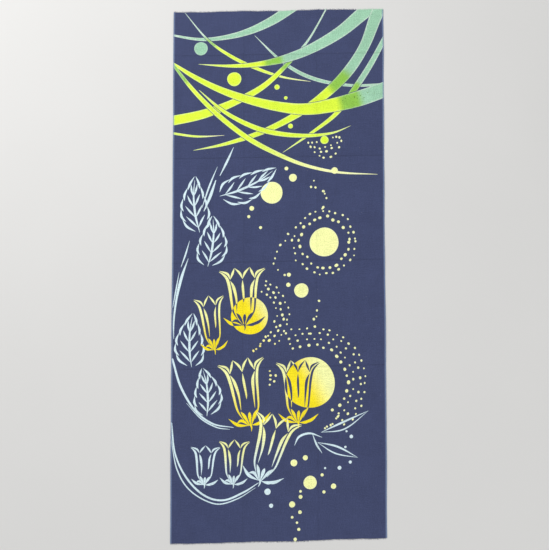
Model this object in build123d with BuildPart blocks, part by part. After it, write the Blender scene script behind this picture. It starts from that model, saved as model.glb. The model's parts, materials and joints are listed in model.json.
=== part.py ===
"""Dyed cotton hand towel lying flat, in millimetres.

One length of plain-weave cloth: woven edges along both sides, a raw cut edge at each end, and
four pressed creases across it that it folds along like a screen. Its crosswise threads lie a
little off square to the woven edges, so the ends and the creases slope together. The origin is
on the underside at the middle, +X is across the cloth, +Y runs to the upper end and +Z is up.
"""

import os
from math import radians, tan

from build123d import *

# The cloth
WIDTH = 360.0
LENGTH = 900.0
CLOTH_THICKNESS = 0.4
SELVEDGE_WIDTH = 4.0
SELVEDGE_THICKNESS = 0.5
FRAY_LENGTH = 2.0
FRAY_THICKNESS = 0.3
WEFT_SLOPE = tan(radians(1.3))

# The pressed creases, counted from the upper end
FIRST_CREASE = 78.0
CREASE_PITCH = 178.0
CREASE_COUNT = 4

# The panels beside a crease are this far apart, and so are two that are folded back to back
FOLD_GAP = 0.3
# Room over each face for the slight waves of the cloth, where two panels fold face to face
FACE_ROOM = 0.85

# Heights of the crease axes: a valley folds face to face, a mountain folds back to back
VALLEY_AXIS = SELVEDGE_THICKNESS + FACE_ROOM
MOUNTAIN_AXIS = -FOLD_GAP / 2

SIDE = WIDTH / 2
GROUND_SIDE = SIDE - SELVEDGE_WIDTH
UPPER_END = LENGTH / 2
LOWER_END = -LENGTH / 2
CREASES = [UPPER_END - FIRST_CREASE - i * CREASE_PITCH for i in range(CREASE_COUNT)]


def panel_spans():
    """The top and bottom of each panel on the middle line, from the upper end down."""
    tops = [UPPER_END - FRAY_LENGTH] + [y - FOLD_GAP / 2 for y in CREASES]
    bottoms = [y + FOLD_GAP / 2 for y in CREASES] + [LOWER_END + FRAY_LENGTH]
    return list(zip(tops, bottoms))


def corners(left, right, top, bottom):
    """Corners of a stretch of cloth whose ends follow the slope of the crosswise threads."""
    square = [(left, bottom), (right, bottom), (right, top), (left, top)]
    return [(x, y + x * WEFT_SLOPE) for x, y in square]


def write(part, name):
    """Labels a finished piece and writes it as its own file."""
    part.label = name
    export_step(part, f"parts/{name}.step")


os.makedirs("parts", exist_ok=True)

for number, (top, bottom) in enumerate(panel_spans(), start=1):
    with BuildPart() as ground_cloth:
        with BuildSketch():
            with BuildLine():
                Polyline(*corners(-GROUND_SIDE, GROUND_SIDE, top, bottom), close=True)
            make_face()
        extrude(amount=CLOTH_THICKNESS)
    write(ground_cloth.part, f"ground_cloth_{number}")

    for side, left in (("left", -SIDE), ("right", GROUND_SIDE)):
        with BuildPart() as selvedge:
            with BuildSketch():
                with BuildLine():
                    Polyline(*corners(left, left + SELVEDGE_WIDTH, top, bottom), close=True)
                make_face()
            extrude(amount=SELVEDGE_THICKNESS)
            long_rims = selvedge.edges().filter_by(Axis.Y).group_by(Axis.Z)[-1]
            fillet(long_rims, radius=SELVEDGE_THICKNESS - CLOTH_THICKNESS)
        write(selvedge.part, f"selvedge_{side}_{number}")

for end, top in (("upper", UPPER_END), ("lower", LOWER_END + FRAY_LENGTH)):
    with BuildPart() as frayed_end:
        with BuildSketch():
            with BuildLine():
                Polyline(*corners(-SIDE, SIDE, top, top - FRAY_LENGTH), close=True)
            make_face()
        extrude(amount=FRAY_THICKNESS)
    write(frayed_end.part, f"frayed_end_{end}")

print("crease axes cross the middle line at y", CREASES, "and slope by", WEFT_SLOPE)
print("valley axes at z", VALLEY_AXIS, "and mountain axes at z", MOUNTAIN_AXIS)
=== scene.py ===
"""A dyed cotton hand towel, laid flat on a pale floor.

The towel is one length of plain-weave cloth. The frame gives its size, its woven edges and the
creases that it folds at. The print is drawn on the cloth in millimetres: `across` runs from the
left woven edge to the right one, and `down` runs from the upper cut end to the lower one.
"""

import json
import math
from functools import lru_cache

import bpy
import numpy as np
from bpy.props import FloatProperty, FloatVectorProperty, IntProperty, PointerProperty
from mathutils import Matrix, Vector
from mathutils.geometry import delaunay_2d_cdt

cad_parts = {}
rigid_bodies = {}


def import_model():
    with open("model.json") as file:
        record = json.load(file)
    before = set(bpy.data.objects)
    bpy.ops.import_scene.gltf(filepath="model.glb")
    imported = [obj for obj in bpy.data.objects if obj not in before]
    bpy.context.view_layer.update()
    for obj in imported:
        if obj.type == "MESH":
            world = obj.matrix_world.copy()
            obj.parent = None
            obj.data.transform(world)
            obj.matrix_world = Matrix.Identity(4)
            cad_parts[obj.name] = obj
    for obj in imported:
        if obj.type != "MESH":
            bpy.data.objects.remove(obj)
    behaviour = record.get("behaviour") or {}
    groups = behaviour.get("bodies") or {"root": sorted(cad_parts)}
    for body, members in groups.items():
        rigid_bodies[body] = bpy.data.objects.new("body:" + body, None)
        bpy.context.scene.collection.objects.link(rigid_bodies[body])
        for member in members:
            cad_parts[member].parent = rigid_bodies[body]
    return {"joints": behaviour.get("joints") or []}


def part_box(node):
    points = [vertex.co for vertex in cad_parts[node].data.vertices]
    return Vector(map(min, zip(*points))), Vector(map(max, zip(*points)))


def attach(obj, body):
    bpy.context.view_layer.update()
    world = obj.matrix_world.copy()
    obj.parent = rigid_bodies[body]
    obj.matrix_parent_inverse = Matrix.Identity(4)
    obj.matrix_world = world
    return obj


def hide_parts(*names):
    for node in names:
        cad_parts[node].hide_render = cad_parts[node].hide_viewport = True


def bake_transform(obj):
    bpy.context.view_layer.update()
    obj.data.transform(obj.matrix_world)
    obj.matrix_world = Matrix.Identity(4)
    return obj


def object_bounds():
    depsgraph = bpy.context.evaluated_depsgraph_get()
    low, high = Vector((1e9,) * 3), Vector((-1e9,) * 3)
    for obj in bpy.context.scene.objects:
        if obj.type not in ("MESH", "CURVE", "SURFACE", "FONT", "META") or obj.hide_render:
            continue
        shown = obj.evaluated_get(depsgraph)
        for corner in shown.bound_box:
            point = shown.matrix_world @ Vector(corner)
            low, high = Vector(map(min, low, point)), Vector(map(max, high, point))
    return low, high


bl_info = {
    "name": "Dyed hand towel",
    "version": (1, 0, 0),
    "blender": (4, 5, 0),
    "location": "View3D > Sidebar > Towel",
    "description": "Lays a dyed plain-weave cotton hand towel over its frame",
    "category": "Object",
}

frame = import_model()
CAD_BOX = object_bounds()

# ---- sizes read from the frame

MM = 0.001


def size_mm(node):
    """How wide, long and thick a node of the frame is, in millimetres."""
    low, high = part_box(node)
    return (high - low) / MM


JOINTS = sorted(frame["joints"], key=lambda joint: -joint["pos_m"][1])
SLOPE = JOINTS[0]["axis"][1] / JOINTS[0]["axis"][0]
WIDTH = (CAD_BOX[1].x - CAD_BOX[0].x) / MM
LENGTH = (CAD_BOX[1].y - CAD_BOX[0].y) / MM - WIDTH * SLOPE
CREASES = [LENGTH / 2 - joint["pos_m"][1] / MM for joint in JOINTS]
CREASE_SIGNS = [1 if joint["range_deg"][0] < 0 else -1 for joint in JOINTS]
SEAMS = [(upper + lower) / 2 for upper, lower in zip(CREASES, CREASES[1:])]
SELVEDGE_WIDTH = size_mm("selvedge_left_1").x
SELVEDGE_THICKNESS = size_mm("selvedge_left_1").z
CLOTH_THICKNESS = size_mm("ground_cloth_1").z
FRAY_LENGTH = size_mm("frayed_end_upper").y - WIDTH * SLOPE

# Room under each face for the slight waves of the cloth, which the folds leave free
ROOM = 0.9
# Where the two pressed creases that run the towel's length lie
THIRDS = (WIDTH / 3, WIDTH * 0.68)


# ---- settings


def distance(name, description, millimetres):
    """A setting for a distance."""
    return FloatProperty(
        name=name, description=description, default=millimetres * MM, precision=5, unit="LENGTH"
    )


class TowelSizes(bpy.types.PropertyGroup):
    """Sizes of the cloth's finer features."""

    thread_pitch: distance("Thread pitch", "Distance from one thread to the next", 0.45)
    net_step: distance("Net step", "Distance between the cloth's mesh points", 3.0)
    dye_creep: distance("Dye creep", "Half the width over which one dye fades into the next", 0.2)
    crease_height: distance("Crease height", "Height of the four creases across the towel", 0.62)
    third_height: distance("Long crease height", "Height of the two creases along the towel", 0.42)
    wave_height: distance("Wave height", "Height of the slow waves the cloth lies in", 0.16)
    loose_length: distance("Loose thread length", "Usual length of a thread at a cut end", 2.2)
    seed: IntProperty(name="Seed", description="Seed of everything that is random", default=4)


def dye(name, description, colour):
    """A colour setting, as linear red, green and blue."""
    return FloatVectorProperty(
        name=name, description=description, default=colour, size=3, min=0, max=1, subtype="COLOR"
    )


class TowelDyes(bpy.types.PropertyGroup):
    """Colours of the dyes, and of the floor."""

    navy: dye("Navy", "The ground of the print", (0.046, 0.058, 0.133))
    teal: dye("Teal", "Upper grass blades", (0.32, 0.57, 0.39))
    green: dye("Green", "Where teal meets lime", (0.27, 0.54, 0.07))
    lime: dye("Lime", "Lower grass blades", (0.70, 0.90, 0.045))
    yellow: dye("Yellow", "Heart of the glowing discs and the flowers' feet", (0.93, 0.76, 0.01))
    straw: dye("Straw", "Pale discs, dots and flower rims", (0.91, 0.93, 0.40))
    sky: dye("Sky", "Leaves and the lower flowers", (0.66, 0.82, 0.86))
    bare: dye("Undyed", "Where the cloth was left bare", (0.84, 0.88, 0.80))
    edge: dye("Woven edge", "What the navy thins to at the woven edges", (0.20, 0.27, 0.42))
    fluff: dye("Fluff", "The small pale knots in the threads", (0.62, 0.64, 0.62))
    floor: dye("Floor", "The floor the towel lies on", (0.66, 0.65, 0.63))


class TowelStage(bpy.types.PropertyGroup):
    """The camera and the lights."""

    camera_place: FloatVectorProperty(
        name="Camera place", description="Where the camera stands",
        default=(-0.0217, -0.0503, 0.9953), precision=4, subtype="TRANSLATION",
    )
    camera_turn: FloatVectorProperty(
        name="Camera turn", description="How the camera leans from looking straight down",
        default=tuple(math.radians(a) for a in (2.486, -0.828, -0.004)), precision=4, subtype="EULER",
    )
    view_angle: FloatProperty(
        name="View angle", description="How much the camera takes in, from top to bottom",
        default=math.radians(50), subtype="ANGLE",
    )
    key_power: FloatProperty(
        name="Key power", description="Power of the main soft light", default=44, unit="POWER"
    )
    fill_power: FloatProperty(
        name="Fill power", description="Power of the second soft light", default=20, unit="POWER"
    )


# ---- lines and marks of the print

# Width of a mark's rim, in which its dye thins, and the narrowest line that gets an outline
RIM = 0.4
NARROWEST = 0.02


def smooth_line(through, spacing):
    """Points about spacing apart on a curve that passes through the given points.

    Columns after the first two, such as a width, change as smoothly as the places do.
    """
    through = np.array(through, float)
    ends = np.vstack([2 * through[0] - through[1], through, 2 * through[-1] - through[-2]])
    line = []
    for before, start, stop, after in zip(ends, ends[1:], ends[2:], ends[3:]):
        count = max(2, int(np.linalg.norm((stop - start)[:2]) / spacing))
        t = (np.arange(count) / count)[:, None]
        line.append(
            start
            + t * (stop - before) / 2
            + t**2 * (before - 2.5 * start + 2 * stop - after / 2)
            + t**3 * ((after - before) / 2 + 1.5 * (start - stop))
        )
    return np.vstack([*line, through[-1:]])


def smooth_step(value, low=0.0, high=1.0):
    """0 below low, 1 above high, and an even rise between."""
    share = np.clip((value - low) / (high - low), 0, 1)
    return share * share * (3 - 2 * share)


def mix(first, second, share):
    """A blend of two colours, with one share for each row."""
    share = np.asarray(share, float)[..., None]
    return np.asarray(first) * (1 - share) + np.asarray(second) * share


def plain(colour):
    """A paint of one colour.

    Each paint gives the colours at some places of a mark, from how far past the mark's edge they
    are, which is less than 0 inside it, and how far along the mark they are.
    """
    return lambda places, past, along: np.broadcast_to(colour, (len(places), 3))


def thinning(past):
    """How thin the dye is: 1 at a mark's edge, and less the farther in."""
    return np.exp(np.minimum(past, 0) / RIM)


def rimmed(colour, bare):
    """A paint of one colour that thins towards the mark's edge."""
    return lambda places, past, along: mix(colour, bare, 0.36 * thinning(past))


def way_and_side(start, end):
    """The way from start to end, and a millimetre square to it."""
    way = np.array(end, float) - np.array(start, float)
    return way, np.array([-way[1], way[0]]) / np.linalg.norm(way)


class Stroke:
    """A brushed line through points that each give a place and the brush's width there."""

    def __init__(self, through, paint, spacing=1.6):
        line = smooth_line(through, spacing)
        self.line, self.half = line[:, :2], line[:, 2].clip(0) / 2
        steps = np.linalg.norm(np.diff(self.line, axis=0), axis=1)
        self.along = np.concatenate([[0], np.cumsum(steps)]) / steps.sum()
        self.paint = paint
        self.below = None

    def box(self, margin):
        """Two corners that the mark lies well between."""
        reach = self.half.max() + margin
        return self.line.min(0) - reach, self.line.max(0) + reach

    def measure(self, places):
        """How far each place is past the stroke's edge, and how far along the stroke it is."""
        start, run = self.line[:-1], np.diff(self.line, axis=0)
        reach = places[:, None] - start
        share = np.clip((reach * run).sum(2) / (run * run).sum(1), 0, 1)
        gap = np.linalg.norm(reach - share[..., None] * run, axis=2)
        past = gap - (self.half[:-1] + share * np.diff(self.half))
        nearest = past.argmin(1)
        rows = np.arange(len(places))
        along = self.along[nearest] + share[rows, nearest] * np.diff(self.along)[nearest]
        return past[rows, nearest], along

    def ring(self, offset):
        """The outline that lies offset outside the stroke's edge, as a closed loop."""
        half = self.half + offset
        kept = half > NARROWEST
        run = np.gradient(self.line, axis=0)
        steps = np.linalg.norm(run, axis=1)[:, None]
        taper = np.clip(np.gradient(self.half)[:, None] / steps, -0.95, 0.95)
        run = run / steps * half[:, None]
        side = np.stack([-run[:, 1], run[:, 0]], axis=1) * np.sqrt(1 - taper**2)
        left, right = self.line - taper * run + side, self.line - taper * run - side
        first, last = (self.line - run)[:1], (self.line + run)[-1:]
        return np.vstack([first[kept[:1]], left[kept], last[kept[-1:]], right[kept][::-1]])


class Disc:
    """A round or slightly oval mark, cut a little unevenly by hand."""

    def __init__(self, centre, radius, paint, stretch=1.0, turn=0.0):
        self.centre, self.radius, self.paint = np.array(centre, float), radius, paint
        self.stretch, self.turn = stretch, turn
        self.sides = int(np.clip(2 * np.pi * radius / 0.9, 12, 120))
        self.below = None

    def box(self, margin):
        """Two corners that the mark lies well between."""
        reach = self.radius * self.stretch * 1.05 + margin
        return self.centre - reach, self.centre + reach

    def corner(self, angle):
        """The radius of the disc's outline at each of its corners."""
        oval = 1 + (self.stretch - 1) * np.cos(angle - self.turn) ** 2
        return self.radius * oval * (1 + 0.015 * np.sin(3 * angle + self.centre[0]))

    def measure(self, places):
        """How far each place is past the disc's straight-sided outline, and from the centre."""
        reach = places - self.centre
        angle = np.arctan2(reach[:, 1], reach[:, 0])
        turn = 2 * np.pi / self.sides
        first = np.floor(angle / turn) * turn
        near, far = self.corner(first), self.corner(first + turn)
        across = near * np.sin(angle - first) + far * np.sin(first + turn - angle)
        out = np.linalg.norm(reach, axis=1)
        return out - near * far * math.sin(turn) / across, out / self.radius

    def ring(self, offset):
        """The outline that lies offset outside the disc's edge, as a closed loop."""
        angle = np.arange(self.sides) / self.sides * 2 * np.pi
        reach = (self.corner(angle) + offset)[:, None]
        return self.centre + reach * np.stack([np.cos(angle), np.sin(angle)], axis=1)


# ---- grass

# Each blade's points from its teal end, as across, down and width. Then the share of its way
# where teal turns to lime, and the share where lime starts to pale to straw
BLADES = (
    (((-8, 41, 3), (52, 50, 5.5), (113, 42, 10), (165, 21, 15), (212, -10, 18)), 2.0, 3.0),
    (((19, 3, 0.5), (58, 50, 3.4), (98, 80, 5.6), (142, 102, 5.6), (188, 118, 3.4),
      (238, 127, 0.2)), 0.26, 0.66),
    (((138, 44, 0.4), (186, 91, 5), (236, 120, 6.4), (300, 134, 4.8), (372, 133, 4)), 2.0, 3.0),
    (((266, -8, 2), (232, 52, 3.4), (198, 92, 6.5), (154, 133, 9.5), (104, 160, 12),
      (50, 180, 15.5), (-12, 192, 17)), 0.34, 2.0),
    (((356, -16, 23), (322, 11, 23), (285, 41, 20), (240, 67, 17), (197, 84, 14), (150, 94, 9),
      (100, 97, 5.5), (42, 93, 0.3)), 0.62, 0.86),
    (((380, 18, 7), (341, 92, 9.5), (311, 139, 10), (279, 182, 7.5), (238, 214, 5),
      (186, 249, 0.4)), 0.46, 0.84),
    (((366, -26, 22), (347, 15, 21), (327, 66, 17.5), (297, 112, 18), (256, 152, 15),
      (206, 186, 11.5), (150, 213, 9), (88, 232, 5.5), (34, 242, 0.4)), 0.38, 0.86),
    (((374, 138, 26), (322, 156, 27), (278, 167, 24), (228, 174, 20), (180, 169, 17),
      (128, 156, 14), (80, 138, 11), (36, 115, 8), (-8, 86, 3)), 0.18, 2.0),
    (((-4, 88, 4), (30, 133, 6.5), (66, 172, 8), (100, 202, 8.4), (134, 227, 8.4),
      (174, 249, 7.4), (222, 270, 5.6), (280, 284, 4), (348, 289, 0.6)), 0.06, 0.42),
    (((44, 138, 0.6), (74, 166, 5), (104, 187, 7), (146, 207, 8.4), (188, 217, 8),
      (232, 220, 6), (272, 216, 3.4), (304, 204, 0.3)), -1.0, 0.80),
    (((-6, 211, 4), (40, 218, 3.4), (88, 217, 0.3)), -1.0, 0.5),
)
# A thin line of the ground is left round a blade that passes over another
BLADE_GAP = 0.9
# Distance between the places that a blade's curve is worked out at
BLADE_SPACING = 2.5


def blade_paint(turn, fade, dyes):
    """Teal that turns through green to lime along a blade, and then pales to straw."""

    def paint(places, past, along):
        green = smooth_step(along, turn - 0.06, turn - 0.02)[:, None]
        lime = smooth_step(along, turn + 0.03, turn + 0.07)[:, None]
        pale = smooth_step(along, fade, fade + 0.4)
        colour = dyes["teal"] * (1 - green) + dyes["green"] * (green - lime) + dyes["lime"] * lime
        colour = mix(colour, dyes["straw"], pale)
        return mix(colour, dyes["bare"], (0.8 - 0.35 * green[:, 0]) * thinning(past))

    return paint


def grass(dyes):
    """Crossing blades, each with a gap round it where it passes over the ones below."""
    marks, laid = [], []
    for through, turn, fade in BLADES:
        gap = Stroke(through, plain(dyes["navy"]), BLADE_SPACING)
        gap.half = gap.half + BLADE_GAP * smooth_step(gap.along, 0.08, 0.14)
        gap.below = list(laid)
        blade = Stroke(through, blade_paint(turn, fade, dyes), BLADE_SPACING)
        marks += [gap, blade]
        laid.append(blade)
    return marks


# ---- leaves and stems

# Base, tip, breadth and bend of each leaf on the stem
LEAVES = (
    ((80, 321), (176, 275), 46, 7),
    ((46, 382), (38, 286), 45, -6),
    ((60, 440), (68, 354), 47, 5),
    ((34, 608), (36, 518), 46, -5),
    ((60, 690), (52, 610), 44, 5),
)
# Points of each stem line, as across, down and width
STEMS = (
    ((206, 742, 0.6), (214, 728, 3.4), (232, 723, 3), (252, 730, 0.5)),
    ((236, 724, 0.4), (243, 742, 3), (252, 756, 0.5)),
    ((103, 238, 0.6), (92, 262, 3.6), (80, 286, 1)),
    ((76, 270, 0.4), (62, 304, 2.8), (50, 340, 0.8)),
    ((73, 294, 1.5), (64, 320, 4.8), (53, 346, 1.2)),
    ((29, 396, 0.5), (22, 420, 2.6), (15, 440, 0.6)),
    ((27, 426, 0.6), (16, 458, 4.4), (8, 494, 3.4), (4, 530, 2.6), (4, 560, 0.8)),
    ((12, 448, 0.4), (7, 478, 2), (2, 508, 0.8)),
    ((2, 594, 3), (16, 640, 3.6), (40, 680, 3), (70, 703, 2.6), (104, 710, 1)),
    ((26, 668, 0.5), (50, 694, 1.8), (76, 709, 1.8), (98, 713, 0.6)),
    ((1, 700, 2.4), (8, 752, 2.6), (28, 793, 3), (57, 821, 3), (88, 829, 3), (121, 817, 3),
     (146, 802, 1)),
    ((0, 722, 0.6), (11, 777, 2), (34, 813, 2), (74, 834.5, 2), (109, 828, 1.8), (141, 810, 0.5)),
)
# Root, middle and tip of each slender leaf, and its breadth
SLENDER_LEAVES = (
    ((250, 722), (288, 712), (330, 688), 12),
    ((244, 738), (276, 752), (312, 765), 12),
)


def leaf(base, tip, breadth, bend, dyes, teeth=5):
    """The brushed outline of a toothed leaf, with its midrib and side veins."""
    way, side = way_and_side(base, tip)
    ink = plain(dyes["sky"])

    def spot(share, aside, width):
        """A brush point share of the way to the tip and aside millimetres from the midrib."""
        return (*(base + way * share + side * (aside + bend * math.sin(math.pi * share))), width)

    def edge(share):
        """How far the leaf's edge lies from the midrib."""
        return breadth / 2 * math.sin(math.pi * min(max(share, 0), 1) ** 0.62) ** 0.85

    marks = [Stroke([spot(0, 0, 0.6), spot(0.3, 0, 3.6), spot(0.65, 0, 2.5), spot(0.95, 0, 0.3)], ink)]
    tooth = 0.93 / teeth
    for hand in (-1, 1):
        for number in range(teeth):
            low = 0.02 + number * tooth
            middle, high = low + tooth * 0.55, min(low + tooth * 1.3, 1)
            marks.append(Stroke([
                spot(low, hand * edge(low) * 0.84, 0.4),
                spot(middle, hand * edge(middle) * 1.04, 3.8),
                spot(high, hand * (edge(high) + 0.8), 0.3),
            ], ink))
        for number in range(1, teeth):
            low = number * tooth - 0.10
            marks.append(Stroke([
                spot(low, hand * 0.6, 0.3),
                spot(low + 0.11, hand * edge(low + 0.15) * 0.36, 3.2),
                spot(low + 0.22, hand * edge(low + 0.22) * 0.72, 0.3),
            ], ink))
    return marks


def slender_leaf(root, middle, tip, breadth, dyes):
    """A slender leaf in outline, one side bolder than the other."""
    side = way_and_side(root, tip)[1] * breadth / 2
    ink = plain(dyes["sky"])
    return [
        Stroke([(*root, 0.4), (*(middle + side * aside), width), (*tip, 0.3)], ink)
        for aside, width in ((-1.0, 3.2), (0.9, 2.2))
    ]


# ---- flowers

# Foot, middle of the rim, breadth of the rim, number of petals, and the dyes of foot and rim
FLOWERS = (
    ((122, 536), (118, 448), 76, 4, "yellow", "straw"),
    ((72, 576), (62, 494), 50, 3, "yellow", "straw"),
    ((132, 702), (116, 602), 76, 4, "yellow", "straw"),
    ((212, 700), (212, 606), 72, 4, "yellow", "straw"),
    ((150, 794), (180, 698), 78, 4, "sky", "straw"),
    ((104, 800), (106, 734), 50, 3, "sky", "straw"),
    ((56, 800), (58, 742), 48, 3, "sky", "sky"),
)
# Tip of each sepal, aside in halves of the rim's breadth and up in lengths of the flower, and
# its width
SEPALS = (
    (-0.92, 0.12, 4.6), (-0.58, 0.02, 4.2), (-0.34, 0.20, 4.4), (0.04, 0.17, 4.8),
    (0.40, 0.19, 4.2), (0.62, 0.01, 4.0), (0.96, 0.10, 4.6),
)
# Glowing discs: centre, radius, and where across the disc yellow starts and ends its turn to straw
MOONS = (((131, 525), 31, 0.05, 1.15), ((232, 639), 42, -0.25, 0.62))


def flower(foot, rim, breadth, petals, foot_dye, rim_dye, dyes, moons):
    """The brushed outline of a bell flower: its sides, curled petals, folds and sepals."""
    way, side = way_and_side(foot, rim)
    boldness = 1.12 * (breadth / 74) ** 0.6

    def ink(places, past, along):
        """The flower's own dyes, but the ground's where a line crosses a glowing disc."""
        height = (places - foot) @ way / (way @ way)
        colour = mix(dyes[foot_dye], dyes[rim_dye], smooth_step(height, 0.05, 0.8))
        for disc in moons:
            inside = np.clip(0.5 - disc.measure(places)[0] / 0.4, 0, 1)
            colour = mix(colour, dyes["navy"], inside)
        return colour

    def draw(*through):
        """Adds a line through points given as aside, share of the way to the rim and width."""
        spots = [(*(foot + way * v + side * u * breadth / 2), w * boldness) for u, v, w in through]
        marks.append(Stroke(spots, ink))

    marks = []
    for hand, bold in ((-1, 1.0), (1, 0.85)):
        draw(
            (hand * 1.04, 1.00, 0.3), (hand * 0.86, 0.95, 2.4 * bold), (hand * 0.68, 0.85, 4.0 * bold),
            (hand * 0.58, 0.66, 4.3 * bold), (hand * 0.53, 0.44, 3.5 * bold),
            (hand * 0.46, 0.22, 2.5 * bold), (hand * 0.24, 0.04, 0.4),
        )
    tips = np.linspace(-1, 1, petals)
    for number, (left, right) in enumerate(zip(tips, tips[1:])):
        middle = (left + right) / 2
        valley = middle * 0.82
        for tip in (left, right):
            rise = 1.06 - 0.04 * tip * tip
            bulge = valley + (tip - middle) * 0.34
            draw((valley, 0.84, 0.4), (bulge, 0.95, 3.3), (tip * 1.02, rise, 0.2))
        bold, low = (4.2, 0.20) if number % 2 == 0 else (3.4, 0.38)
        draw(
            (valley, 0.82, 0.2), (valley * 0.74, 0.68, bold), (valley * 0.60 + 0.02, 0.46, bold * 0.7),
            (valley * 0.56, low, 0.2),
        )
    for tip, lift, bold in SEPALS:
        sag = -0.05 if abs(tip) > 0.6 else 0.04
        draw((tip * 0.10, -0.05, 0.6), (tip * 0.60, lift * 0.35 + sag, bold), (tip, lift, 0.2))
    draw((0, -0.04, 2.6), (0.03, -0.09, 2.0), (0.0, -0.15, 0.6))
    return marks


# ---- discs and dots

# Across, down and radius of each disc, by its dye
DISCS = {
    "teal": ((47, 66, 11.5),),
    "lime": (
        (104, 120, 12.0), (177, 135, 4.5), (192, 154, 3.0), (200, 203, 4.2), (258, 228, 7.0),
    ),
    "straw": (
        (275, 281, 5.6), (193, 276, 3.2), (204, 292, 6.6), (168, 317, 18.5), (134, 343, 4.0),
        (129, 357, 2.6), (149, 376, 2.6), (257, 403, 24.5), (197, 457, 3.4), (196, 474, 3.6),
        (218, 484, 12.0), (224, 763, 4.2), (205, 771, 5.6), (232, 804, 11.0), (252, 792, 2.6),
        (271, 811, 4.4), (255, 820, 2.6), (216, 818, 2.2), (216, 827, 3.2), (202, 839, 5.0),
        (215, 852, 3.0), (202, 860, 2.2), (210, 869, 2.0), (213, 880, 2.6), (207, 896, 2.8),
    ),
    "sky": (
        (257, 781, 1.8), (281, 781, 3.2), (299, 772, 2.6), (301, 730, 3.0), (293, 721, 1.8),
        (291, 747, 2.0), (161, 817, 5.2), (167, 840, 3.4),
    ),
}
# Rings of dots: centre, radius and dot size of each ring, first and last angle clockwise from
# the right, and the spacing
HALOS = (
    ((258, 228), ((14, 1.6), (21, 1.7), (28, 1.6)), -12, 172, 9.0),
    ((257, 403), ((42, 2.3), (53, 1.7)), 0, 353, 11.0),
    ((131, 525), ((46, 1.6), (55, 1.9), (64, 1.5)), -64, 50, 9.4),
    ((232, 639), ((63, 2.3), (73, 1.7), (84, 1.7), (93, 1.5)), -116, 50, 12.5),
    ((166, 630), ((4, 1.7), (11, 1.7)), -90, 90, 9.0),
)
# Strings of dots: the points a string passes through, the spacing and how far dots stray
STRINGS = (
    (((233, 298), (250, 318), (262, 334), (258, 350)), 7.0, 7.0),
    (((198, 388), (178, 418), (172, 438), (190, 456)), 9.5, 2.5),
    (((249, 506), (247, 524), (236, 542), (226, 552)), 8.5, 5.0),
    (((160, 560), (146, 574), (138, 586)), 6.5, 3.0),
    (((282, 694), (270, 706), (258, 716)), 5.0, 3.0),
)
# Dots near this place are dyed yellow, and ones farther off straw
GLOW = np.array((150, 596))


def moon(centre, radius, first, last, dyes):
    """A glowing disc: deep yellow at its lower left that pales to straw at its upper right."""

    def paint(places, past, along):
        reach = (places - centre) / radius
        share = smooth_step(reach[:, 0] * 0.8 - reach[:, 1] * 0.45, first, last)
        return mix(dyes["yellow"], dyes["straw"], share)

    return Disc(centre, radius, paint)


def splashes(dyes, rng):
    """Small drops of dark green dye on the widest blade."""
    ink = plain(dyes["green"] * 0.45)
    places = rng.normal((320, 156), (16, 4), (16, 2))
    return [Disc(place, rng.uniform(0.35, 0.8), ink, rng.uniform(1, 1.4)) for place in places]


def dots(dyes, rng):
    """Rings and strings of small dots, a little uneven in place, size and shape."""
    marks = []

    def dab(place, size, turn):
        """Adds a dot at a place, yellower the nearer it is to the glow."""
        warm = math.exp(-((np.linalg.norm(place - GLOW) / 34) ** 2))
        paint = rimmed(dyes["straw"] * (1 - warm) + dyes["yellow"] * warm, dyes["bare"])
        marks.append(Disc(place, size * rng.uniform(0.72, 1.2), paint, rng.uniform(1, 1.35), turn))

    for centre, rings, first, last, spacing in HALOS:
        for radius, size in rings:
            count = max(2, round(math.radians(last - first) * radius / spacing))
            for angle in np.linspace(first, last, count):
                turn = math.radians(angle) + rng.uniform(-2.0, 2.0) / radius
                out = radius + rng.normal(0, 1.5)
                place = np.array(centre) + out * np.array([math.cos(turn), math.sin(turn)])
                dab(place, size, turn + math.pi / 2)
    for through, spacing, stray in STRINGS:
        for place in smooth_line(through, spacing):
            dab(place + rng.uniform(-stray, stray, 2), 1.7, rng.uniform(0, math.pi))
    return marks


def draw_print(dyes, seed):
    """Every mark of the print, from the lowest to the one on top."""
    rng = np.random.default_rng(seed)
    moons = [moon(*values, dyes) for values in MOONS]
    marks = grass(dyes) + splashes(dyes, rng)
    for name, discs in DISCS.items():
        marks += [Disc((x, y), r, rimmed(dyes[name], dyes["bare"])) for x, y, r in discs]
    marks += dots(dyes, rng) + moons
    marks += [Stroke(through, plain(dyes["sky"])) for through in STEMS]
    for values in LEAVES:
        marks += leaf(*values, dyes)
    for values in SLENDER_LEAVES:
        marks += slender_leaf(*values, dyes)
    for values in FLOWERS:
        marks += flower(*values, dyes, moons)
    return marks


# ---- the cloth as a surface

# Width over which a dye fades at a mark's edge, in dye creeps: the net's points stand two apart
FADE = 1.7
# Painted shade along the pressed creases: how much it darkens the dye, across the towel and along it,
# and how far it reaches
CREASE_SHADE, LONG_CREASE_SHADE = 0.2, 0.09
CREASE_SHADE_REACH, LONG_CREASE_SHADE_REACH = 0.9, 1.0
# How far the net's other points keep from the edge of a mark
CLEARANCE = 0.6
# Points of the net that are nearer than this are one point, and a smaller area is none
TOUCHING = 0.002
NO_AREA = 1e-6
# Distance between the points that a wavy cut end is drawn through
CUT_STEP = 2.0
# Distances from a pressed crease, across the towel and along it, at which the net has rows
CREASE_ROWS = (0.0, 0.25, 0.5, 0.75, 1.0, 1.3, 1.7, 2.4, 3.4, 5.0)
LONG_CREASE_ROWS = (0.0, 0.7, 1.5, 2.6, 4.2)


def sizes():
    """The size settings."""
    return bpy.context.scene.towel_sizes


def dye_colours():
    """The dye settings as arrays, by name."""
    settings = bpy.context.scene.towel_dyes
    return {name: np.array(getattr(settings, name)) for name in TowelDyes.__annotations__}


@lru_cache(maxsize=1)
def marks_of_print():
    """The print in the colours that are set."""
    return draw_print(dye_colours(), sizes().seed)


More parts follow.
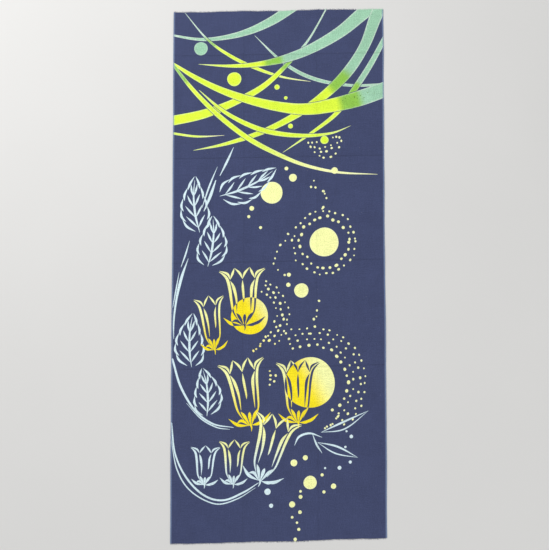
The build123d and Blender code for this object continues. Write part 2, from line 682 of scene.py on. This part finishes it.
def marks_near(places, margin):
    """Each mark that comes near any of the places, with the rows of those places."""
    for mark in marks_of_print():
        low, high = mark.box(margin)
        near = np.flatnonzero(((places > low) & (places < high)).all(1))
        if len(near):
            yield mark, near


def colours_at(places):
    """The dyed colour of the cloth at each place, darkened by painted shade along the pressed creases.
    """
    across, down = places.T
    creep = sizes().dye_creep / MM
    colour = np.tile(dye_colours()["navy"], (len(places), 1))
    for mark, near in marks_near(places, creep):
        past, along = mark.measure(places[near])
        cover = np.clip(0.5 - past / (FADE * creep), 0, 1)[:, None]
        colour[near] += cover * (mark.paint(places[near], past, along) - colour[near])
    # painted shade: the dye is darkened along the creases across the towel and the two along it
    crease_shade = sum(CREASE_SHADE * np.exp(-(((down - crease) / CREASE_SHADE_REACH) ** 2)) for crease in CREASES)
    for number in (0, 1):
        apart = across - third_line(places, number)
        crease_shade += LONG_CREASE_SHADE * np.exp(-((apart / LONG_CREASE_SHADE_REACH) ** 2))
    return colour * (1 - crease_shade)[:, None]


def cut_line(across, end):
    """How far in from the nominal end the last crosswise thread lies, at a cut end."""
    wobble = np.sin(across / 23 + end * 2) + 0.7 * np.sin(across / 57 + end) + 0.4 * np.sin(across / 7)
    return FRAY_LENGTH + 0.5 * wobble


def third_line(places, number):
    """Where each of the two creases along the towel lies, at each place's height down it."""
    return THIRDS[number] + 0.8 * np.sin(places[:, 1] / 140 + number)


def heights(places):
    """How high the cloth's underside lies over the floor at each place, in millimetres.

    Slow waves come first, then the ripples of the woven edges, the creases across, and the two
    along, which turn over at each crease that they cross.
    """
    across, down = places.T
    wave = sizes().wave_height / MM
    lift = wave * np.sin(down / 31 + 1.1 * np.sin(across / 47) + 0.4)
    lift += wave * np.sin(across / 26 + 0.8 * np.sin(down / 61) + 1.9)
    lift += 0.7 * wave * np.sin((across + down) / 17 + np.sin(down / 83))
    lift += 0.4 * wave * np.sin(down / 5.1 + 2 * np.sin(across / 31)) * np.sin(across / 37 + 1)
    lift += 0.35 * wave * np.sin(across / 4.3 + 2 * np.sin(down / 43)) * np.sin(down / 29 + 2)
    rim = np.minimum(across, WIDTH - across)
    lift += 1.5 * wave * np.exp(-rim / 14) * np.sin(down / 19 + across / 90)
    flip = np.ones(len(places))
    for crease, sign in zip(CREASES, CREASE_SIGNS):
        apart = down - crease
        height = sizes().crease_height / MM * (0.85 + 0.15 * np.sin(across / 33 + crease))
        lift += sign * height * np.exp(-np.hypot(apart, 0.3) / 4.2)
        flip *= np.tanh(apart / 7)
    for number in (0, 1):
        apart = across - third_line(places, number)
        lift += flip * sizes().third_height / MM * np.exp(-np.hypot(apart, 0.4) / 3.2)
    return ROOM / 2 * (1 + np.tanh(lift / (ROOM / 2)))


def laid(places, height):
    """The places on the cloth as points of the scene, in metres."""
    across, down = places.T
    drift = 0.55 * np.sin(down / 83 + 0.5) + 0.35 * np.sin(down / 37)
    x = across - WIDTH / 2 + drift * (across / WIDTH - 0.5)
    y = LENGTH / 2 - down + SLOPE * (across - WIDTH / 2)
    return np.stack([x, y, height], axis=1) * MM


def unlaid(points):
    """Places on the cloth below points of the scene, kept inside the cloth."""
    across = np.clip(points[:, 0] / MM + WIDTH / 2, 0, WIDTH)
    down = LENGTH / 2 - points[:, 1] / MM + SLOPE * (across - WIDTH / 2)
    return np.stack([across, np.clip(down, FRAY_LENGTH, LENGTH - FRAY_LENGTH)], axis=1)


def rows_near(lines, offsets, low, high):
    """Each line's value with the offsets on both sides of it, kept between low and high."""
    values = [line + sign * offset for line in lines for offset in offsets for sign in (-1, 1)]
    return [value for value in values if low < value < high]


def even_steps(stops, step):
    """Values about step apart that take in every one of the stops."""
    values = []
    for low, high in zip(stops, stops[1:]):
        values += list(np.linspace(low, high, max(2, round((high - low) / step) + 1))[:-1])
    return values + [stops[-1]]


def print_net():
    """Points and edges that follow both sides of every mark's edge."""
    creep = sizes().dye_creep / MM
    points, edges = [], []
    for mark in marks_of_print():
        for offset in (-creep, creep):
            ring = mark.ring(offset)
            if len(ring) < 4:
                continue
            kept = np.ones(len(ring), bool)
            if mark.below is not None:
                past = [below.measure(ring)[0] for below in mark.below]
                kept = np.min(past, axis=0) < 1.5 if past else np.zeros(len(ring), bool)
            first = len(points)
            points += list(ring)
            numbers = np.arange(len(ring))
            after = np.roll(numbers, -1)
            both = kept & kept[after]
            edges += [(first + a, first + b) for a, b in zip(numbers[both], after[both])]
    return points, edges


def clear_of_marks(places):
    """The places that lie well away from the edge of every mark."""
    free = np.ones(len(places), bool)
    for mark, near in marks_near(places, 1.0):
        free[near] &= abs(mark.measure(places[near])[0]) > CLEARANCE
    return [tuple(place) for place in places[free]]


def without_slivers(places, faces):
    """The triangles with points that all but touch made one, which closes the thinnest of them."""
    sides = np.vstack([faces[:, [0, 1]], faces[:, [1, 2]], faces[:, [2, 0]]])
    apart = np.linalg.norm(places[sides[:, 0]] - places[sides[:, 1]], axis=1)
    joined = np.arange(len(places))
    for first, second in sides[apart < TOUCHING]:
        joined[joined == joined[second]] = joined[first]
    faces = joined[faces]
    return faces[(faces != np.roll(faces, 1, axis=1)).all(1)]


@lru_cache(maxsize=1)
def woven_net():
    """The whole cloth cut into triangles that follow the print, the creases and the seams.

    Returns places on the cloth and triangles that turn anticlockwise seen from above.
    """
    step = sizes().net_step / MM
    sides = [0, SELVEDGE_WIDTH, WIDTH - SELVEDGE_WIDTH, WIDTH]
    rows = even_steps([0, *sorted(SEAMS + CREASES), LENGTH], step)
    rows = [row for row in rows if all(abs(row - crease) > 0.9 * step for crease in CREASES)]
    rows += rows_near(CREASES, CREASE_ROWS, 0, LENGTH)
    columns = rows_near(THIRDS, LONG_CREASE_ROWS, 0, WIDTH)
    points = [(a, d) for d in sorted(set(rows)) for a in even_steps(sides, step)]
    points += [(a, d) for d in even_steps([0, *sorted(SEAMS), LENGTH], step) for a in columns]
    points = clear_of_marks(np.array(points))
    edges = []

    def fence(line):
        """Adds a line that the triangles must not cross."""
        first = len(points)
        points.extend(tuple(p) for p in line)
        edges.extend((n, n + 1) for n in range(first, first + len(line) - 1))

    across = np.linspace(0, WIDTH, round(WIDTH / CUT_STEP) + 1)
    for down in (cut_line(across, 0), LENGTH - cut_line(across, 1)):
        fence(np.stack([across, down], axis=1))
    for side in sides:
        fence([(side, 0), (side, LENGTH)])
    for seam in SEAMS:
        fence([(0, seam), (WIDTH, seam)])
    print_points, print_edges = print_net()
    edges += [(a + len(points), b + len(points)) for a, b in print_edges]
    points += print_points
    flat = [Vector((float(a), float(d))) for a, d in points]
    net = delaunay_2d_cdt(flat, edges, [], 0, 1e-4, False)
    places = np.array([tuple(v) for v in net[0]])
    faces = without_slivers(places, np.array([tuple(f) for f in net[2]]))
    corners = places[faces]
    across, down = corners.mean(1).T
    inside = (across > 0) & (across < WIDTH)
    inside &= (down > cut_line(across, 0)) & (down < LENGTH - cut_line(across, 1))
    run, rise = corners[:, 1] - corners[:, 0], corners[:, 2] - corners[:, 0]
    area = run[:, 0] * rise[:, 1] - run[:, 1] * rise[:, 0]
    faces[area > 0] = faces[area > 0][:, ::-1]
    return places, faces[inside & (abs(area) > NO_AREA)]


# ---- meshes


def dye_mesh(mesh, places):
    """Stores each point's dyed colour and its place on the cloth, in metres, on a mesh."""
    tint = mesh.attributes.new("dye", "FLOAT_COLOR", "POINT")
    colour = np.ones((len(places), 4), np.float32)
    colour[:, :3] = colours_at(places)
    tint.data.foreach_set("color", colour.ravel())
    threads = mesh.uv_layers.new(name="threads")
    corner = np.zeros(len(mesh.loops), np.int32)
    mesh.loops.foreach_get("vertex_index", corner)
    spot = np.stack([places[:, 0], LENGTH - places[:, 1]], axis=1) * MM
    threads.data.foreach_set("uv", spot[corner].astype(np.float32).ravel())


def put(name, data, place=(0, 0, 0), turn=(0, 0, 0)):
    """A new object of the scene."""
    made = bpy.data.objects.new(name, data)
    made.location = place
    made.rotation_euler = turn
    bpy.context.scene.collection.objects.link(made)
    return made


def mesh_object(name, mesh, material):
    """A smooth-shaded object of the scene with one material."""
    mesh.name = name
    mesh.materials.clear()
    mesh.materials.append(material)
    mesh.shade_smooth()
    return put(name, mesh)


def settle(made):
    """Turns an object's modifiers into plain mesh."""
    graph = bpy.context.evaluated_depsgraph_get()
    mesh = bpy.data.meshes.new_from_object(made.evaluated_get(graph))
    made.modifiers.clear()
    made.data = mesh
    mesh.set_sharp_from_angle(angle=math.radians(50))
    return made


def cloth_piece(name, chosen, thickness, material):
    """One length of the cloth, thick enough to have two faces."""
    places, faces = woven_net()
    used, faces = np.unique(faces[chosen], return_inverse=True)
    places, faces = places[used], faces.reshape(-1, 3)
    mesh = bpy.data.meshes.new(name)
    mesh.from_pydata(laid(places, heights(places)), [], faces.tolist())
    dye_mesh(mesh, places)
    made = mesh_object(name, mesh, material)
    solid = made.modifiers.new("thickness", "SOLIDIFY")
    solid.thickness = thickness * MM
    solid.offset = 1
    return settle(made)


def middles_of_net():
    """The middle of each of the net's triangles."""
    places, faces = woven_net()
    return places[faces].mean(1)


def length_of(middle):
    """Which length of cloth, from the upper end, each triangle's middle lies in."""
    return np.searchsorted(sorted(SEAMS), middle[:, 1])


def bend(piece, number):
    """Bakes a length of cloth's transform into its mesh."""
    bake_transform(piece)


def fit_to_frame(piece, number, node):
    """Hides the nodes of the frame that a length of cloth stands in for, and bakes the length's
    transform into its mesh.
    """
    nodes = [f"{node}_{number + 1}"]
    if number == len(CREASES) - 1:
        nodes.append(f"{node}_{number + 2}")
    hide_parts(*nodes)
    bend(piece, number)


def join(piece, other):
    """Makes another object part of a piece."""
    chosen = [piece, other]
    with bpy.context.temp_override(
        active_object=piece, object=piece, selected_editable_objects=chosen
    ):
        bpy.ops.object.join()


def grow(tree, places, thickness, values):
    """The dyed mesh that a node tree grows along places, half way up the cloth's thickness."""
    line = laid(places, heights(places) + thickness / 2).tolist()
    mesh = bpy.data.meshes.new("line")
    mesh.from_pydata(line, [(n, n + 1) for n in range(len(line) - 1)], [])
    seedling = put("line", mesh)
    modifier = seedling.modifiers.new("grow", "NODES")
    modifier.node_group = tree
    for item in tree.interface.items_tree:
        if item.name in values:
            modifier[item.identifier] = values[item.name]
    graph = bpy.context.evaluated_depsgraph_get()
    grown = bpy.data.meshes.new_from_object(seedling.evaluated_get(graph))
    bpy.data.objects.remove(seedling)
    points = np.zeros(len(grown.vertices) * 3)
    grown.vertices.foreach_get("co", points)
    dye_mesh(grown, unlaid(points.reshape(-1, 3)))
    return grown


# ---- node trees


def add(tree, kind, settings=None, **inputs):
    """A node with the given settings, and with values or links on the named inputs.

    A name such as i2 stands for the input of that number.
    """
    node = tree.nodes.new(kind)
    for name, value in (settings or {}).items():
        setattr(node, name, value)
    for name, value in inputs.items():
        key = int(name[1:]) if name[1:].isdigit() else name.replace("_", " ")
        if isinstance(value, bpy.types.NodeSocket):
            tree.links.new(value, node.inputs[key])
        else:
            node.inputs[key].default_value = value
    return node


def maths(tree, operation, *values):
    """The result of a Math node."""
    inputs = {f"i{n}": value for n, value in enumerate(values)}
    return add(tree, "ShaderNodeMath", {"operation": operation}, **inputs).outputs[0]


def vectors(tree, operation, first, **inputs):
    """The result of a Vector Math node."""
    return add(tree, "ShaderNodeVectorMath", {"operation": operation}, i0=first, **inputs).outputs[0]


def combine(tree, **parts):
    """A vector made of its parts."""
    return add(tree, "ShaderNodeCombineXYZ", **parts).outputs[0]


def chance(tree, low, high, seed):
    """A random number for each spot."""
    kind = {"data_type": "FLOAT"}
    return add(tree, "FunctionNodeRandomValue", kind, i2=low, i3=high, Seed=seed).outputs[1]


def start_tree(name, numbers, whole_numbers=()):
    """A tree that takes a line, named inputs and a material, with spots a pitch apart on the line."""
    tree = bpy.data.node_groups.new(name, "GeometryNodeTree")
    sockets = [("Geometry", "Geometry")]
    sockets += [(label, "Float") for label in numbers]
    sockets += [(label, "Int") for label in whole_numbers]
    for label, kind in [*sockets, ("Material", "Material")]:
        tree.interface.new_socket(label, in_out="INPUT", socket_type=f"NodeSocket{kind}")
    tree.interface.new_socket("Geometry", in_out="OUTPUT", socket_type="NodeSocketGeometry")
    source = tree.nodes.new("NodeGroupInput").outputs
    curve = add(tree, "GeometryNodeMeshToCurve", Mesh=source["Geometry"]).outputs[0]
    even = {"mode": "LENGTH"}
    spots = add(tree, "GeometryNodeResampleCurve", even, Curve=curve, Length=source["Pitch"])
    return tree, source, spots.outputs[0]


def tube(tree, path, sides, thickness):
    """A thread of the given thickness along a path."""
    radius = maths(tree, "MULTIPLY", thickness, 0.5)
    ring = add(tree, "GeometryNodeCurvePrimitiveCircle", Resolution=sides, Radius=radius).outputs[0]
    return add(
        tree, "GeometryNodeCurveToMesh", Curve=path.outputs[0], Profile_Curve=ring, Fill_Caps=True
    ).outputs[0]


def finish_tree(tree, source, spots, thread, **placing):
    """Ends a tree in a thread at each spot, as real geometry with its material."""
    placed = add(tree, "GeometryNodeInstanceOnPoints", Points=spots, Instance=thread, **placing)
    real = add(tree, "GeometryNodeRealizeInstances", Geometry=placed.outputs[0]).outputs[0]
    painted = add(tree, "GeometryNodeSetMaterial", Geometry=real, Material=source["Material"])
    output = tree.nodes.new("NodeGroupOutput")
    tree.links.new(painted.outputs[0], output.inputs[0])
    return tree


def thread_tree():
    """Loose threads that stand out of a cut end, each with its own length and lean."""
    inputs = ("Pitch", "Length", "Thickness", "Heading")
    tree, source, spots = start_tree("loose_threads", inputs, ("Seed",))
    length, seed = source["Length"], source["Seed"]
    half_way, bulge = (maths(tree, "MULTIPLY", length, share) for share in (0.5, 0.22))
    path = add(
        tree, "GeometryNodeCurveQuadraticBezier",
        Resolution=4, Start=(0.0, -0.8 * MM, 0.0), Middle=combine(tree, X=bulge, Y=half_way),
        End=combine(tree, X=maths(tree, "MULTIPLY", length, -0.10), Y=length),
    )
    lean = chance(tree, -0.55, 0.55, seed)
    growth = chance(tree, 0.25, 1.15, maths(tree, "ADD", seed, 1))
    return finish_tree(
        tree, source, spots, tube(tree, path, 5, source["Thickness"]),
        Rotation=combine(tree, Z=maths(tree, "ADD", source["Heading"], lean)),
        Scale=combine(tree, X=1.0, Y=growth, Z=1.0),
    )


def turn_tree():
    """The small loops in which the crosswise thread turns back at a woven edge."""
    tree, source, spots = start_tree("thread_turns", ("Pitch", "Reach", "Thickness", "Heading"))
    arc = add(
        tree, "GeometryNodeCurveArc", {"mode": "RADIUS"},
        Resolution=6, Radius=source["Reach"], Start_Angle=-math.pi / 2, Sweep_Angle=math.pi,
    )
    loop = tube(tree, arc, 4, source["Thickness"])
    return finish_tree(tree, source, spots, loop, Rotation=combine(tree, Z=source["Heading"]))


# ---- materials


def new_material(name, **constants):
    """A material, its node tree, and its shader's inputs, some of them at a constant."""
    material = bpy.data.materials.new(name)
    material.use_nodes = True
    tree = material.node_tree
    shader = tree.nodes["Principled BSDF"].inputs
    for label, value in constants.items():
        shader[label.replace("_", " ")].default_value = value
    return material, tree, shader


def ranged(tree, value, low, high, start, stop):
    """A value from low to high, turned into one from start to stop."""
    return add(
        tree, "ShaderNodeMapRange",
        Value=value, From_Min=low, From_Max=high, To_Min=start, To_Max=stop,
    ).outputs[0]


def noise(tree, place, scale, detail, roughness=0.5):
    """Cloudy noise, as numbers round 0.5."""
    inputs = {"Vector": place, "Scale": scale, "Detail": detail, "Roughness": roughness}
    return add(tree, "ShaderNodeTexNoise", **inputs).outputs["Fac"]


def tinted(tree, colour, tint, share):
    """A colour with a share of another one mixed in."""
    mixed = add(tree, "ShaderNodeMix", {"data_type": "RGBA"}, Factor=share, i6=colour, i7=(*tint, 1))
    return mixed.outputs[2]


def weave_height(tree, threads):
    """Plain weave: where warp and weft threads take turns to pass on top, from 0 to 1."""
    spot = add(tree, "ShaderNodeSeparateXYZ", Vector=threads).outputs
    waves = [maths(tree, "SINE", maths(tree, "MULTIPLY", spot[n], math.pi)) for n in (0, 1)]
    warp, weft = (maths(tree, "ABSOLUTE", wave) for wave in waves)
    over = ranged(tree, maths(tree, "MULTIPLY", *waves), -0.5, 0.5, 0, 1)
    under = maths(tree, "SUBTRACT", 1.0, over)
    return maths(tree, "ADD", maths(tree, "MULTIPLY", warp, over), maths(tree, "MULTIPLY", weft, under))


def uneven(tree, threads, fineness, start):
    """How thick the warp and the weft threads are along their length, as numbers round 1."""
    parts = []
    for number, stretch in enumerate((fineness, fineness[::-1])):
        place = vectors(tree, "MULTIPLY", threads, i1=(*stretch, 1))
        moved = vectors(tree, "ADD", place, i1=(start[number],) * 3)
        parts.append(noise(tree, moved, 1.0, 2.0, 0.6))
    return maths(tree, "ADD", *parts)


def cotton(name, pitch, warp_share=1.0, lighten=0.0):
    """Dyed plain-weave cotton, with its weave, slubs, mottled dye and soft sheen.

    warp_share is how far apart the lengthwise threads lie, in pitches of the crosswise ones, and
    lighten is how far the dye is thinned at a woven edge.
    """
    material, tree, shader = new_material(
        name, Specular_IOR_Level=0.25, Sheen_Weight=0.22, Sheen_Roughness=0.45,
        Sheen_Tint=(0.85, 0.9, 1.0, 1),
    )
    dyes = dye_colours()
    spot = add(tree, "ShaderNodeUVMap", {"uv_map": "threads"}).outputs[0]
    threads = vectors(tree, "MULTIPLY", spot, i1=(1 / (pitch * warp_share), 1 / pitch, 1.0))
    weave = weave_height(tree, threads)
    slubs = uneven(tree, threads, (0.9, 0.03), (3.0, 11.0))
    bands = uneven(tree, threads, (0.20, 0.012), (5.0, 7.0))
    # painted shade darkens the dye between the threads and the thread tops are painted lighter, and
    # slubs, bands, clouds and grain vary it
    light = ranged(tree, weave, 0, 1, 0.78, 1.12)
    for shade in (
        ranged(tree, slubs, 0.7, 1.3, 0.86, 1.14),
        ranged(tree, bands, 0.7, 1.3, 0.94, 1.06),
        ranged(tree, noise(tree, spot, 22.0, 4.0, 0.65), 0.3, 0.7, 0.93, 1.07),
        ranged(tree, noise(tree, threads, 0.27, 3.0), 0.3, 0.7, 0.82, 1.18),
    ):
        light = maths(tree, "MULTIPLY", light, shade)
    colour = add(tree, "ShaderNodeAttribute", {"attribute_name": "dye"}).outputs["Color"]
    if lighten:
        across = add(tree, "ShaderNodeSeparateXYZ", Vector=spot).outputs[0]
        inward = maths(tree, "MINIMUM", across, maths(tree, "SUBTRACT", WIDTH * MM, across))
        thinned = ranged(tree, inward, 0.5 * MM, 3.0 * MM, lighten, 0.0)
        colour = tinted(tree, colour, dyes["edge"], thinned)
    knots = add(tree, "ShaderNodeTexVoronoi", Vector=spot, Scale=70.0, Randomness=1.0)
    fluff = ranged(tree, knots.outputs["Distance"], 0.015, 0.03, 0.35, 0.0)
    colour = tinted(tree, vectors(tree, "SCALE", colour, Scale=light), dyes["fluff"], fluff)
    relief = maths(tree, "ADD", weave, maths(tree, "MULTIPLY", slubs, 0.5))
    bump = add(tree, "ShaderNodeBump", Strength=0.55, Distance=0.12 * MM, Height=relief)
    tree.links.new(colour, shader["Base Color"])
    tree.links.new(ranged(tree, weave, 0, 1, 0.97, 0.82), shader["Roughness"])
    tree.links.new(bump.outputs[0], shader["Normal"])
    return material


def yarn(name):
    """A single dyed thread, with the slant of its twist and a few pale fibres."""
    material, tree, shader = new_material(
        name, Specular_IOR_Level=0.25, Sheen_Weight=0.4, Sheen_Roughness=0.5
    )
    spot = add(tree, "ShaderNodeTexCoord").outputs["Object"]
    twist = add(
        tree, "ShaderNodeTexWave", {"bands_direction": "DIAGONAL"},
        Vector=spot, Scale=900.0, Distortion=1.5,
    ).outputs["Fac"]
    light = ranged(tree, noise(tree, spot, 3500.0, 2.0), 0.3, 0.7, 0.9, 1.5)
    colour = add(tree, "ShaderNodeAttribute", {"attribute_name": "dye"}).outputs["Color"]
    bump = add(tree, "ShaderNodeBump", Strength=0.5, Distance=0.05 * MM, Height=twist)
    tree.links.new(vectors(tree, "SCALE", colour, Scale=light), shader["Base Color"])
    tree.links.new(ranged(tree, twist, 0, 1, 0.8, 0.95), shader["Roughness"])
    tree.links.new(bump.outputs[0], shader["Normal"])
    return material


def floor_paint(colour):
    """A plain matt floor with a faint unevenness."""
    material, tree, shader = new_material("pale_floor", Roughness=0.8)
    spot = add(tree, "ShaderNodeTexCoord").outputs["Object"]
    light = ranged(tree, noise(tree, spot, 3.0, 3.0), 0, 1, 0.97, 1.03)
    tree.links.new(vectors(tree, "SCALE", tuple(colour), Scale=light), shader["Base Color"])
    return material


# ---- operators


class TOWEL_OT_lay_cloth(bpy.types.Operator):
    """Lay the dyed ground cloth, in lengths that each take in one crease"""

    bl_idname = "towel.lay_cloth"
    bl_label = "Lay the ground cloth"

    def execute(self, context):
        material = cotton("dyed_cotton", sizes().thread_pitch)
        middle = middles_of_net()
        ground = abs(middle[:, 0] - WIDTH / 2) < WIDTH / 2 - SELVEDGE_WIDTH
        for number in range(len(CREASES)):
            chosen = ground & (length_of(middle) == number)
            piece = cloth_piece(f"cloth_{number + 1}", chosen, CLOTH_THICKNESS, material)
            fit_to_frame(piece, number, "ground_cloth")
        return {"FINISHED"}


class TOWEL_OT_weave_selvedges(bpy.types.Operator):
    """Weave the two thicker edges, with the loops in which the crosswise thread turns"""

    bl_idname = "towel.weave_selvedges"
    bl_label = "Weave the edges"

    def execute(self, context):
        pitch = sizes().thread_pitch
        material = cotton("woven_edge", pitch, 0.7, 0.8)
        loops = turn_tree()
        values = {
            "Pitch": 2 * pitch, "Reach": 0.5 * pitch, "Thickness": 0.6 * pitch, "Material": material,
        }
        middle = middles_of_net()
        stops = [cut_line(np.zeros(1), 0)[0], *SEAMS, LENGTH - cut_line(np.zeros(1), 1)[0]]
        for side, outer, heading in (("left", 0.0, math.pi), ("right", WIDTH, 0.0)):
            edge = abs(middle[:, 0] - outer) < SELVEDGE_WIDTH
            for number in range(len(CREASES)):
                chosen = edge & (length_of(middle) == number)
                name = f"selvedge_{side}_length_{number + 1}"
                piece = cloth_piece(name, chosen, SELVEDGE_THICKNESS, material)
                # the line of loops keeps clear of this length's ends, so that none reaches past them
                down = np.arange(stops[number] + 0.4, stops[number + 1] - 0.3, 1.0)
                line = np.stack([np.full(len(down), outer), down], axis=1)
                grown = grow(loops, line, SELVEDGE_THICKNESS, {**values, "Heading": heading})
                join(piece, mesh_object("loops", grown, material))
                fit_to_frame(piece, number, f"selvedge_{side}")
        return {"FINISHED"}


class TOWEL_OT_fray_ends(bpy.types.Operator):
    """Fray the two cut ends into loose threads"""

    bl_idname = "towel.fray_ends"
    bl_label = "Fray the cut ends"

    def execute(self, context):
        pitch = sizes().thread_pitch
        material = yarn("loose_thread")
        tree = thread_tree()
        values = {
            "Pitch": 1.3 * pitch, "Length": sizes().loose_length, "Thickness": 0.55 * pitch,
            "Material": material,
        }
        across = np.arange(0.5, WIDTH - 0.3, 1.5)
        bodies = (JOINTS[0]["child"], JOINTS[-1]["parent"])
        for number, (end, heading) in enumerate((("upper", 0.0), ("lower", math.pi))):
            # the threads start from a line just inside the cut
            inset = cut_line(across, number) + 0.1
            line = np.stack([across, LENGTH - inset if number else inset], axis=1)
            own = {"Heading": heading, "Seed": sizes().seed + number}
            mesh = grow(tree, line, CLOTH_THICKNESS, {**values, **own})
            piece = mesh_object(f"loose_threads_{end}", mesh, material)
            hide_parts(f"frayed_end_{end}")
            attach(piece, bodies[number])
        return {"FINISHED"}


class TOWEL_OT_name_sheets(bpy.types.Operator):
    """Go through the lengths of the cloth, without doing anything to them"""

    bl_idname = "towel.name_sheets"
    bl_label = "Declare the cloth"

    def execute(self, context):
        stops = [0, *SEAMS, LENGTH]
        for number, (top, bottom) in enumerate(zip(stops, stops[1:]), start=1):
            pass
        return {"FINISHED"}


class TOWEL_OT_set_stage(bpy.types.Operator):
    """Set the floor, the soft lights and the camera"""

    bl_idname = "towel.set_stage"
    bl_label = "Set the stage"

    def execute(self, context):
        scene = context.scene
        stage = scene.towel_stage
        mesh = bpy.data.meshes.new("floor")
        half = 8.0
        corners = [(-half, -half, 0), (half, -half, 0), (half, half, 0), (-half, half, 0)]
        mesh.from_pydata(corners, [], [(0, 1, 2, 3)])
        mesh_object("floor", mesh, floor_paint(dye_colours()["floor"]))
        lights = (
            ("key_light", (-1.25, 1.5, 1.5), 1.1, stage.key_power),
            ("fill_light", (1.1, -1.5, 1.9), 1.8, stage.fill_power),
        )
        for name, place, size, power in lights:
            lamp = bpy.data.lights.new(name, "AREA")
            lamp.energy, lamp.size = power, size
            aim = (-Vector(place)).to_track_quat("-Z", "Y").to_euler()
            put(name, lamp, place, aim)
        scene.world = scene.world or bpy.data.worlds.new("room")
        scene.world.use_nodes = True
        background = scene.world.node_tree.nodes["Background"].inputs
        background["Color"].default_value = (0.95, 0.97, 1.0, 1)
        background["Strength"].default_value = 0.5
        scene.view_settings.view_transform = "Standard"
        eye = bpy.data.cameras.new("camera")
        eye.sensor_fit = "VERTICAL"
        eye.angle = stage.view_angle
        scene.camera = put("camera", eye, stage.camera_place, stage.camera_turn)
        return {"FINISHED"}


# ---- panel and registration

OPERATORS = (
    TOWEL_OT_set_stage, TOWEL_OT_lay_cloth, TOWEL_OT_weave_selvedges,
    TOWEL_OT_fray_ends, TOWEL_OT_name_sheets,
)


class TOWEL_PT_panel(bpy.types.Panel):
    """The towel's settings and the steps that make it"""

    bl_label = "Dyed hand towel"
    bl_space_type = "VIEW_3D"
    bl_region_type = "UI"
    bl_category = "Towel"

    def draw(self, context):
        for group in (context.scene.towel_sizes, context.scene.towel_dyes, context.scene.towel_stage):
            for name in group.__annotations__:
                self.layout.prop(group, name)
        for operator in OPERATORS:
            self.layout.operator(operator.bl_idname)


GROUPS = {"towel_sizes": TowelSizes, "towel_dyes": TowelDyes, "towel_stage": TowelStage}


def register():
    for group in GROUPS.values():
        bpy.utils.register_class(group)
    for name, group in GROUPS.items():
        setattr(bpy.types.Scene, name, PointerProperty(type=group))
    for operator in OPERATORS:
        bpy.utils.register_class(operator)
    bpy.utils.register_class(TOWEL_PT_panel)


def unregister():
    bpy.utils.unregister_class(TOWEL_PT_panel)
    for operator in OPERATORS:
        bpy.utils.unregister_class(operator)
    for name, group in GROUPS.items():
        delattr(bpy.types.Scene, name)
        bpy.utils.unregister_class(group)


def main():
    """Makes everything in order."""
    register()
    bpy.ops.towel.set_stage()
    bpy.ops.towel.lay_cloth()
    bpy.ops.towel.weave_selvedges()
    bpy.ops.towel.fray_ends()
    bpy.ops.towel.name_sheets()


if __name__ == "__main__":
    main()
